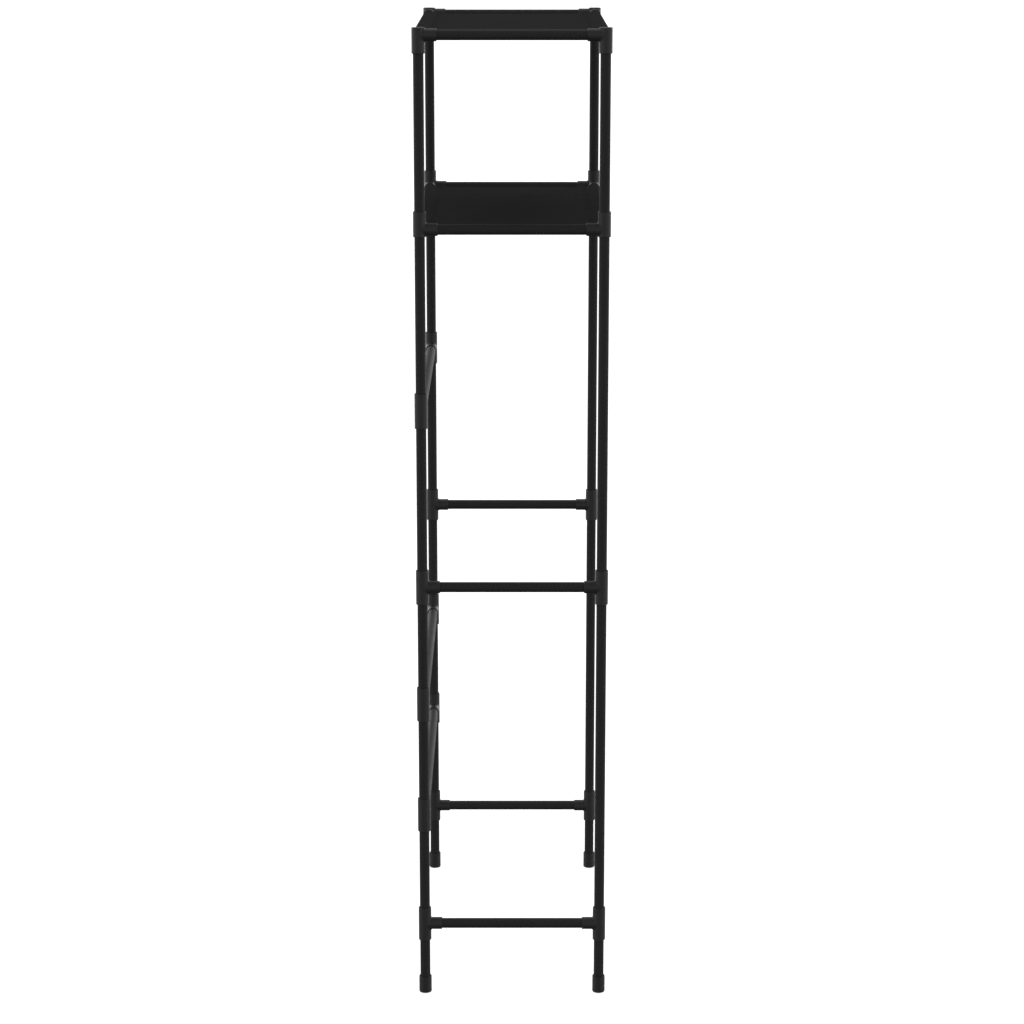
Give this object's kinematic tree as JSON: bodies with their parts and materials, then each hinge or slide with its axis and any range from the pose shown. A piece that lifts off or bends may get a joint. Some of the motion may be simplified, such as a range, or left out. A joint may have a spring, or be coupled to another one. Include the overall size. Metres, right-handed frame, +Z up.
{
  "type": "over the toilet storage rack",
  "caption": "Narrow plug-together frame of black round tube that stands over a toilet, with two cloth shelves above it.",
  "frame": {"origin": "on the floor, midway between the four posts", "axes": "+X to the right seen from the front, +Y towards the wall behind the toilet, +Z up"},
  "size_m": [0.5802, 0.3002, 1.54],
  "materials": {
    "tube": "satin",
    "connector": "matte",
    "foot": "matte",
    "cloth": "matte"
  },
  "bodies": {
    "root": {"foot_tube_front_left": "tube", "lower_post_tube_front_left": "tube", "upper_post_tube_front_left": "tube", "top_post_tube_front_left": "tube", "foot_tube_front_right": "tube", "lower_post_tube_front_right": "tube", "upper_post_tube_front_right": "tube", "top_post_tube_front_right": "tube", "foot_tube_rear_left": "tube", "lower_post_tube_rear_left": "tube", "upper_post_tube_rear_left": "tube", "top_post_tube_rear_left": "tube", "foot_tube_rear_right": "tube", "lower_post_tube_rear_right": "tube", "upper_post_tube_rear_right": "tube", "top_post_tube_rear_right": "tube", "lower_rung_left": "tube", "upper_rung_left": "tube", "lower_shelf_side_bar_left": "tube", "upper_shelf_side_bar_left": "tube", "lower_rung_right": "tube", "upper_rung_right": "tube", "lower_shelf_side_bar_right": "tube", "upper_shelf_side_bar_right": "tube", "lower_shelf_rail_front": "tube", "lower_shelf_rail_rear": "tube", "upper_shelf_rail_front": "tube", "upper_shelf_rail_rear": "tube", "back_bar_low": "tube", "back_bar_middle": "tube", "back_bar_high": "tube", "lower_rung_tee_front_left": "connector", "upper_rung_tee_front_left": "connector", "lower_shelf_connector_front_left": "connector", "top_corner_connector_front_left": "connector", "lower_rung_tee_front_right": "connector", "upper_rung_tee_front_right": "connector", "lower_shelf_connector_front_right": "connector", "top_corner_connector_front_right": "connector", "lower_rung_tee_rear_left": "connector", "upper_rung_tee_rear_left": "connector", "lower_shelf_connector_rear_left": "connector", "top_corner_connector_rear_left": "connector", "lower_rung_tee_rear_right": "connector", "upper_rung_tee_rear_right": "connector", "lower_shelf_connector_rear_right": "connector", "top_corner_connector_rear_right": "connector", "back_tee_low_left": "connector", "back_tee_low_right": "connector", "back_tee_middle_left": "connector", "back_tee_middle_right": "connector", "back_tee_high_left": "connector", "back_tee_high_right": "connector", "foot_front_left": "foot", "foot_front_right": "foot", "foot_rear_left": "foot", "foot_rear_right": "foot", "lower_shelf_cloth": "cloth", "upper_shelf_cloth": "cloth"}
  },
  "joints": []
}
